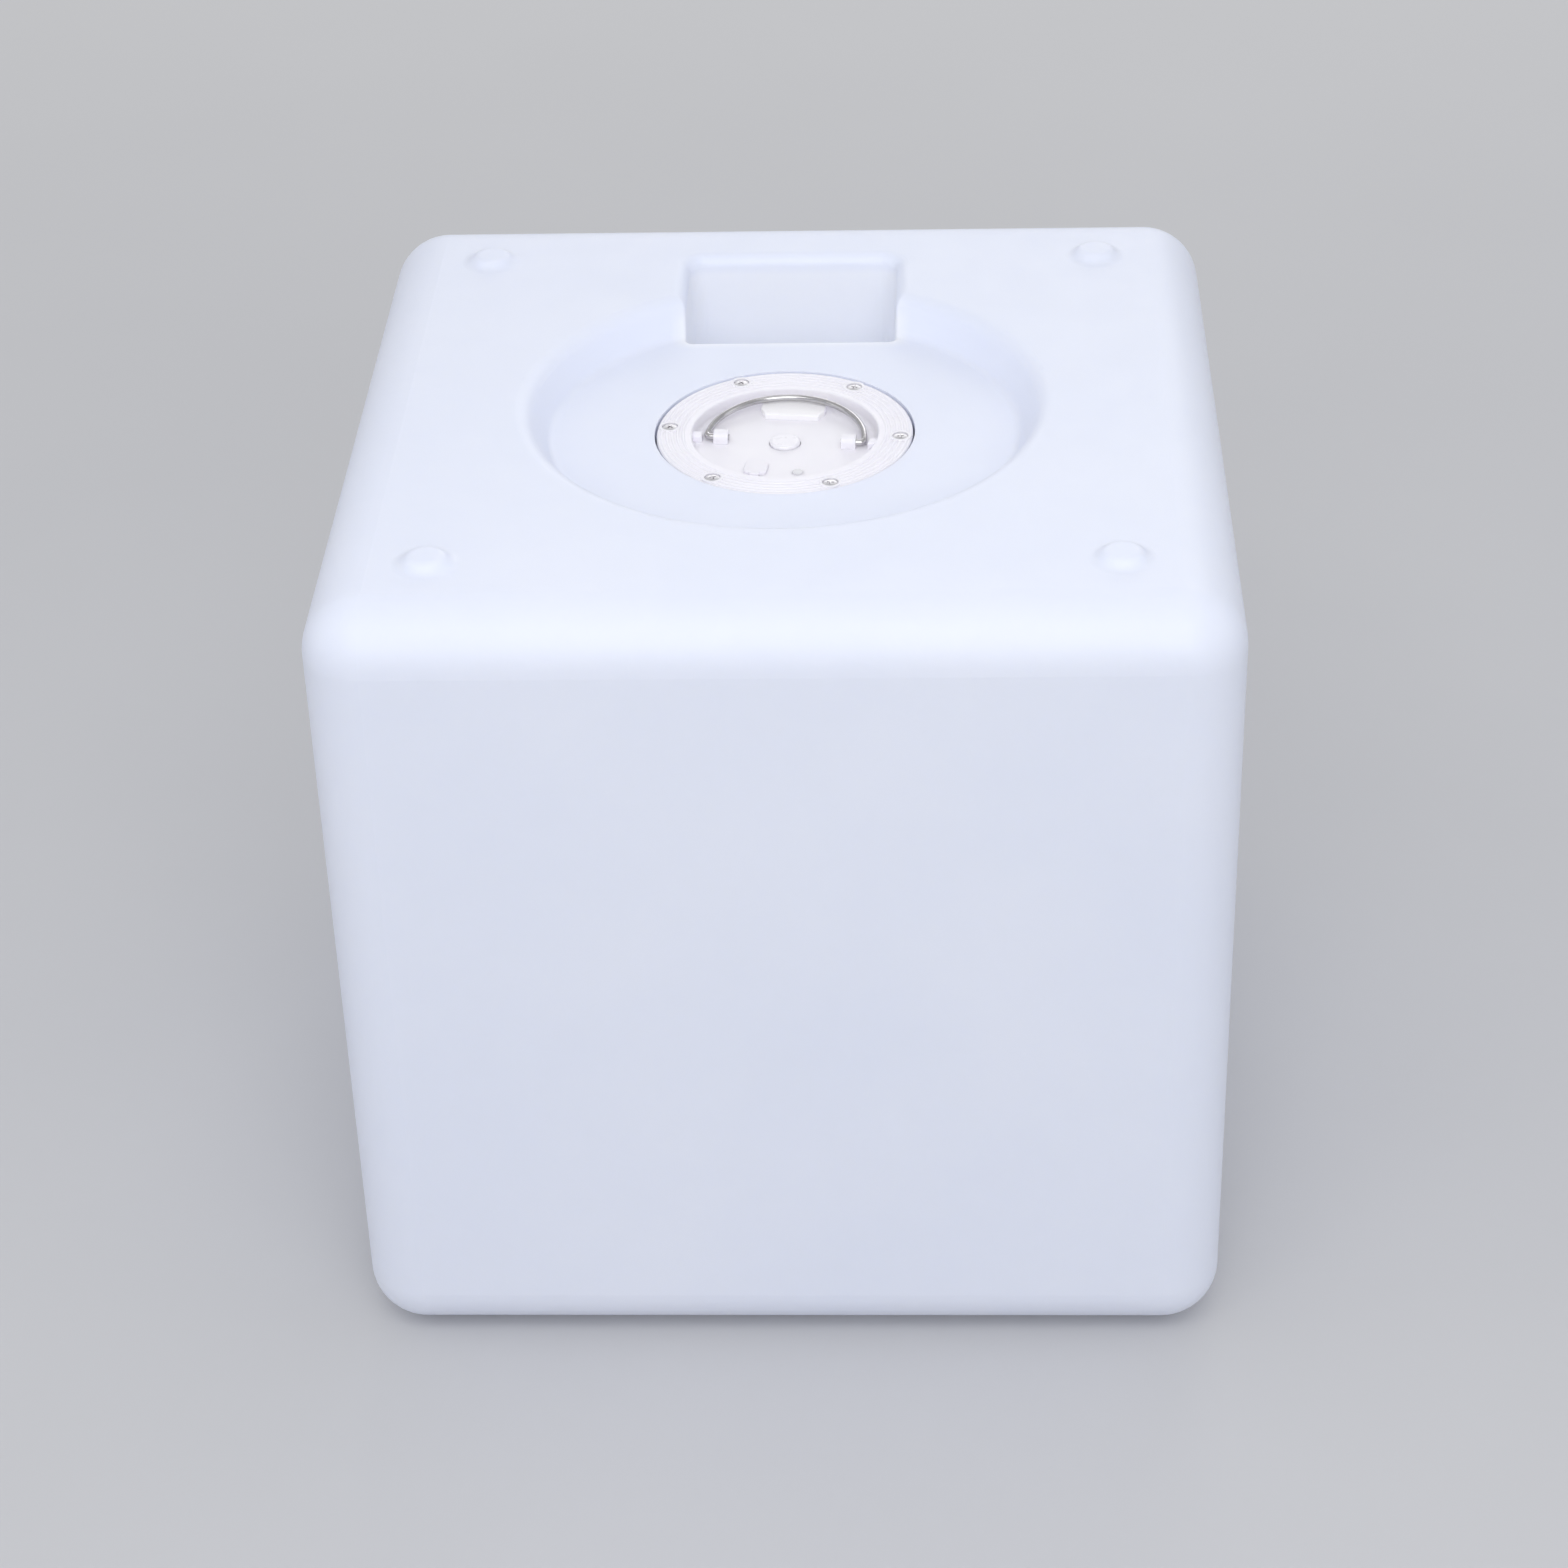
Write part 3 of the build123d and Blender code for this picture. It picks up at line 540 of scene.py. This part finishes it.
# Lamp chips: speckled phosphor
def lampChip(name, settings):
    material, tree, shader = startMaterial(name)
    place = objectPlace(tree)
    speckle = tree.nodes.new("ShaderNodeTexVoronoi")
    speckle.inputs["Scale"].default_value = settings["speckleScale"]
    tree.links.new(place, speckle.inputs["Vector"])
    speck = rangeOf(tree, speckle.outputs["Distance"], *settings["speckleEdge"], 0, 1)
    colour = mixColour(tree, speck, settings["colour"], settings["clouded"])
    tree.links.new(colour, shader.inputs["Base Color"])
    gloss = rangeOf(tree, speck, 0, 1, settings["roughLow"], settings["roughHigh"])
    tree.links.new(gloss, shader.inputs["Roughness"])
    tree.links.new(bumpFrom(tree, speck, settings["speckleDepth"]), shader.inputs["Normal"])
    return material


chipSet = {
    "colour": (0.800, 0.640, 0.140),
    "clouded": (0.700, 0.540, 0.110),
    "speckleScale": 2400,
    "speckleEdge": (0.15, 0.55),
    "speckleDepth": 0.00001,
    "roughLow": 0.20,
    "roughHigh": 0.38,
}


# Light pipe: milky acrylic, frosted at its skin
def frostedAcrylic(name, settings):
    material, tree, shader = startMaterial(name)
    place = objectPlace(tree)
    frost = noiseOf(tree, place, settings["frostScale"], detail=3, roughness=0.6)
    gloss = rangeOf(tree, frost, *noiseSpan, settings["roughLow"], settings["roughHigh"])
    tree.links.new(gloss, shader.inputs["Roughness"])
    colour = mixColour(tree, frost, settings["colour"], settings["clouded"])
    tree.links.new(colour, shader.inputs["Base Color"])
    tree.links.new(bumpFrom(tree, frost, settings["frostDepth"]), shader.inputs["Normal"])
    shader.inputs["Transmission Weight"].default_value = settings["clear"]
    shader.inputs["IOR"].default_value = settings["ior"]
    return material


pipeSet = {
    "colour": (0.930, 0.930, 0.950),
    "clouded": (0.890, 0.890, 0.920),
    "frostScale": 1500,
    "frostDepth": 0.000006,
    "roughLow": 0.12,
    "roughHigh": 0.26,
    "clear": 0.22,
    "ior": 1.49,
}

finishes = {
    "milky_polyethylene": mouldedPlastic("milkyPolyethylene", {**shellSet, "patch": pocketPaintedLight}),
    "cover_plastic": mouldedPlastic("coverPlastic", {**coverSet, "patch": restPaintedLight}),
    "button_plastic": mouldedPlastic("buttonPlastic", buttonSet),
    "soft_plug": mouldedPlastic("softPlug", plugSet),
    "polished_wire": drawnMetal("polishedWire", wireSet),
    "dark_screw_steel": drawnMetal("darkScrewSteel", darkScrewSet),
    "bright_screw_steel": drawnMetal("brightScrewSteel", brightScrewSet),
    "insert_brass": drawnMetal("insertBrass", brassSet),
    "seal_rubber": mouldedPlastic("sealRubber", sealSet),
    "module_plastic": mouldedPlastic("modulePlastic", cupSet),
    "switch_black": mouldedPlastic("switchBlack", switchSet),
    "light_pipe_clear": frostedAcrylic("lightPipeClear", pipeSet),
    "lamp_yellow": lampChip("lampYellow", chipSet),
    "board_green": boardLacquer("boardGreen", greenBoardSet),
    "board_white": boardLacquer("boardWhite", whiteBoardSet),
    "connector_white": mouldedPlastic("connectorWhite", connectorSet),
    "cell_wrap": cellWrap("cellWrap", cellSet),
    "lead_red": mouldedPlastic("leadRed", leadSet),
    "lead_grey": mouldedPlastic("leadGrey", greyLeadSet),
    "dome_milky": mouldedPlastic("domeMilky", domeSet),
}

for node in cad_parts.values():
    for slot in node.material_slots:
        slotName = slot.material.name.split(".")[0]
        slot.material = finishes[slotName]
print("materials set")


def deselectAll():
    bpy.ops.object.select_all(action="DESELECT")


# Faces of a piece in edit mode, picked by a test on each face
def pickFaces(piece, test):
    bpy.ops.object.mode_set(mode="EDIT")
    bpy.ops.mesh.select_mode(type="FACE")
    bpy.ops.mesh.select_all(action="DESELECT")
    bpy.ops.object.mode_set(mode="OBJECT")
    for face in piece.data.polygons:
        face.select = test(face)
    bpy.ops.object.mode_set(mode="EDIT")


levelNormal = 0.9  # a face whose normal's z is past this looks up or down
exactNormal = 0.9999  # and past this it is flat


def finishPiece(piece, slotName, smoothAngle):
    bpy.ops.object.shade_smooth_by_angle(angle=math.radians(smoothAngle))
    piece.data.materials.clear()
    piece.data.materials.append(finishes[slotName])


# Cover screws: crowned heads level with their pads, each cross turned as it came to rest
screwSet = {
    "circle": 0.0535,
    "sides": 48,
    "headRadius": 0.0036,
    "headHeight": 0.0023,
    "headRound": 0.0005,
    "roundSteps": 4,
    "crowns": ((0.0008, 0.00016), (0.0009, 0.00010), (0.0007, 0.00003)),
    "seatBelowTop": 0.0017,
    "shankRadius": 0.00195,
    "tipBreak": 0.0004,
    "crossLength": 0.0040,
    "crossWidth": 0.0008,
    "crossDepth": 0.0009,
    "crossTaper": (0.45, 0.7),
    "crossTurns": (12, 71, 38, 55, 24, 83),  # one for each screw
    "smoothAngle": 32,
}


# One arm of the cross recess, narrower at its floor
def addCrossArm(settings, turn):
    deselectAll()
    depth = settings["crossDepth"]
    bpy.ops.mesh.primitive_cube_add(size=1, location=(0, 0, settings["headHeight"]))
    arm = bpy.context.object
    arm.scale = (settings["crossLength"], settings["crossWidth"], 2 * depth)
    bpy.ops.object.transform_apply(location=True, rotation=True, scale=True)
    pickFaces(arm, lambda face: face.normal.z < -levelNormal)
    alongTaper, acrossTaper = settings["crossTaper"]
    bpy.ops.transform.resize(value=(alongTaper, acrossTaper, 1))
    bpy.ops.object.mode_set(mode="OBJECT")
    arm.rotation_euler.z = math.radians(turn)
    bpy.ops.object.transform_apply(location=True, rotation=True, scale=True)
    return arm


def makeScrew(settings, length):
    deselectAll()
    height = settings["headHeight"]
    bpy.ops.mesh.primitive_cylinder_add(
        vertices=settings["sides"], radius=settings["headRadius"], depth=height,
        location=(0, 0, height / 2))
    screw = bpy.context.object
    bpy.ops.object.transform_apply(location=True, rotation=True, scale=True)
    pickFaces(screw, lambda face: face.normal.z > levelNormal)
    bpy.ops.mesh.bevel(offset=settings["headRound"], segments=settings["roundSteps"], profile=0.5)
    pickFaces(screw, lambda face: face.normal.z > exactNormal)
    for inwards, raised in settings["crowns"]:
        bpy.ops.mesh.inset(thickness=inwards)
        bpy.ops.transform.translate(value=(0, 0, raised))
    pickFaces(screw, lambda face: face.normal.z < -levelNormal)
    bpy.ops.mesh.inset(thickness=settings["headRadius"] - settings["shankRadius"])
    bpy.ops.mesh.extrude_region_move(TRANSFORM_OT_translate={"value": (0, 0, -length)})
    bpy.ops.mesh.bevel(offset=settings["tipBreak"], segments=1)
    bpy.ops.object.mode_set(mode="OBJECT")
    for turn in (0, 90):
        arm = addCrossArm(settings, turn)
        bpy.context.view_layer.objects.active = screw
        cross = screw.modifiers.new("cross", "BOOLEAN")
        cross.object = arm
        cross.solver = "EXACT"
        bpy.ops.object.modifier_apply(modifier=cross.name)
        bpy.data.objects.remove(arm, do_unlink=True)
    return screw


def addScrews(settings):
    low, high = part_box("cover_screws")
    seat = high[2] - settings["seatBelowTop"]
    pattern = makeScrew(settings, seat - low[2])
    spacing = 360 / len(settings["crossTurns"])
    screws = []
    for index, crossTurn in enumerate(settings["crossTurns"]):
        screw = pattern.copy()
        screw.data = pattern.data.copy()
        scene.collection.objects.link(screw)
        angle = math.radians(spacing * index + moduleTurn)
        place = (settings["circle"] * math.cos(angle), settings["circle"] * math.sin(angle), seat)
        turned = Matrix.Rotation(math.radians(crossTurn), 4, "Z")
        screw.data.transform(Matrix.Translation(place) @ turned)
        screws.append(screw)
    bpy.data.objects.remove(pattern, do_unlink=True)
    deselectAll()
    for screw in screws:
        screw.select_set(True)
    bpy.context.view_layer.objects.active = screws[0]
    bpy.ops.object.join()
    piece = bpy.context.object
    piece.name = "coverScrews"
    finishPiece(piece, "dark_screw_steel", settings["smoothAngle"])
    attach(piece, "cube")
    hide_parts("cover_screws")


addScrews(screwSet)
print("cover screws made")


# Carry handle: half-round wire bow whose ends turn in sharply as hinge pins
handleSet = {
    "bowRadius": 0.0365,
    "wireRadius": 0.0015,
    "bendRadius": 0.0018,
    "pinEnd": 0.0259,
    "raised": 4.3,  # degrees above level, as it lies on its rest
    "wireSides": 24,
    "bendSteps": 8,
    "bowSteps": 120,
    "mergeWithin": 0.000002,
    "smoothAngle": 40,
}


def addHandle(settings):
    bendRadius = settings["bendRadius"]
    bendX = math.sqrt((settings["bowRadius"] - bendRadius) ** 2 - bendRadius ** 2)
    lift = math.atan2(bendRadius, bendX)
    pinLength = bendX - settings["pinEnd"]
    deselectAll()
    bpy.ops.mesh.primitive_circle_add(
        vertices=settings["wireSides"], radius=settings["wireRadius"], fill_type="NGON",
        location=(settings["pinEnd"], 0, 0), rotation=(0, math.pi / 2, 0))
    handle = bpy.context.object
    handle.name = "bowHandle"
    bpy.ops.object.transform_apply(location=True, rotation=True, scale=True)
    bpy.ops.object.mode_set(mode="EDIT")
    bpy.ops.mesh.select_mode(type="FACE")
    bpy.ops.mesh.select_all(action="SELECT")
    bpy.ops.mesh.extrude_region_move(TRANSFORM_OT_translate={"value": (pinLength, 0, 0)})
    turns = (
        (settings["bendSteps"], math.pi / 2 + lift, (bendX, bendRadius, 0)),
        (settings["bowSteps"], math.pi - 2 * lift, (0, 0, 0)),
        (settings["bendSteps"], math.pi / 2 + lift, (-bendX, bendRadius, 0)),
    )
    for steps, angle, centre in turns:
        bpy.ops.mesh.spin(steps=steps, angle=angle, center=centre, axis=(0, 0, -1))
    bpy.ops.mesh.extrude_region_move(TRANSFORM_OT_translate={"value": (pinLength, 0, 0)})
    bpy.ops.mesh.select_all(action="SELECT")
    bpy.ops.mesh.remove_doubles(threshold=settings["mergeWithin"])
    bpy.ops.mesh.normals_make_consistent(inside=False)
    bpy.ops.object.mode_set(mode="OBJECT")
    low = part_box("carry_handle")[0]
    height = Matrix.Translation((0, 0, low[2] + settings["wireRadius"]))
    turned = Matrix.Rotation(math.radians(moduleTurn), 4, "Z")
    raised = Matrix.Rotation(math.radians(settings["raised"]), 4, "X")
    handle.data.transform(height @ turned @ raised)
    finishPiece(handle, "polished_wire", settings["smoothAngle"])
    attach(handle, "handle")
    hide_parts("carry_handle")


addHandle(handleSet)
print("handle made")


# Floor, which fades into the backdrop
floorSet = {
    "size": 16,
    "colour": (0.600, 0.602, 0.610),
    "clouded": (0.585, 0.587, 0.596),
    "cloudScale": 3,
    "grainScale": 900,
    "grainDepth": 0.00002,
    "roughness": 0.7,
    "gloss": 0.2,
    "fadeFrom": 0.8,
    "fadeTo": 2.4,
}


def addFloor(settings):
    deselectAll()
    bpy.ops.mesh.primitive_plane_add(size=settings["size"], location=(0, 0, 0))
    floor = bpy.context.object
    floor.name = "studioFloor"
    material, tree, shader = startMaterial("floorPaper")
    place = objectPlace(tree)
    cloud = noiseOf(tree, place, settings["cloudScale"], detail=3)
    cloud = rangeOf(tree, cloud, *noiseSpan, 0, 1)
    colour = mixColour(tree, cloud, settings["colour"], settings["clouded"])
    tree.links.new(colour, shader.inputs["Base Color"])
    shader.inputs["Roughness"].default_value = settings["roughness"]
    shader.inputs["Specular IOR Level"].default_value = settings["gloss"]
    grain = noiseOf(tree, place, settings["grainScale"], detail=2)
    tree.links.new(bumpFrom(tree, grain, settings["grainDepth"]), shader.inputs["Normal"])
    far = tree.nodes.new("ShaderNodeVectorMath")  # how far from the middle
    far.operation = "LENGTH"
    tree.links.new(place, far.inputs[0])
    fade = rangeOf(tree, far.outputs["Value"], settings["fadeFrom"], settings["fadeTo"], 0, 1)
    fade = mathOf(tree, "MULTIPLY", fade, seenRay(tree))
    backdrop = tree.nodes.new("ShaderNodeEmission")
    backdrop.inputs["Color"].default_value = (*worldSet["backdrop"], 1)
    mixer = tree.nodes.new("ShaderNodeMixShader")
    tree.links.new(fade, mixer.inputs["Fac"])
    tree.links.new(shader.outputs[0], mixer.inputs[1])
    tree.links.new(backdrop.outputs[0], mixer.inputs[2])
    out = tree.get_output_node("ALL")
    tree.links.new(mixer.outputs[0], out.inputs["Surface"])
    floor.data.materials.append(material)


addFloor(floorSet)
print("floor set")
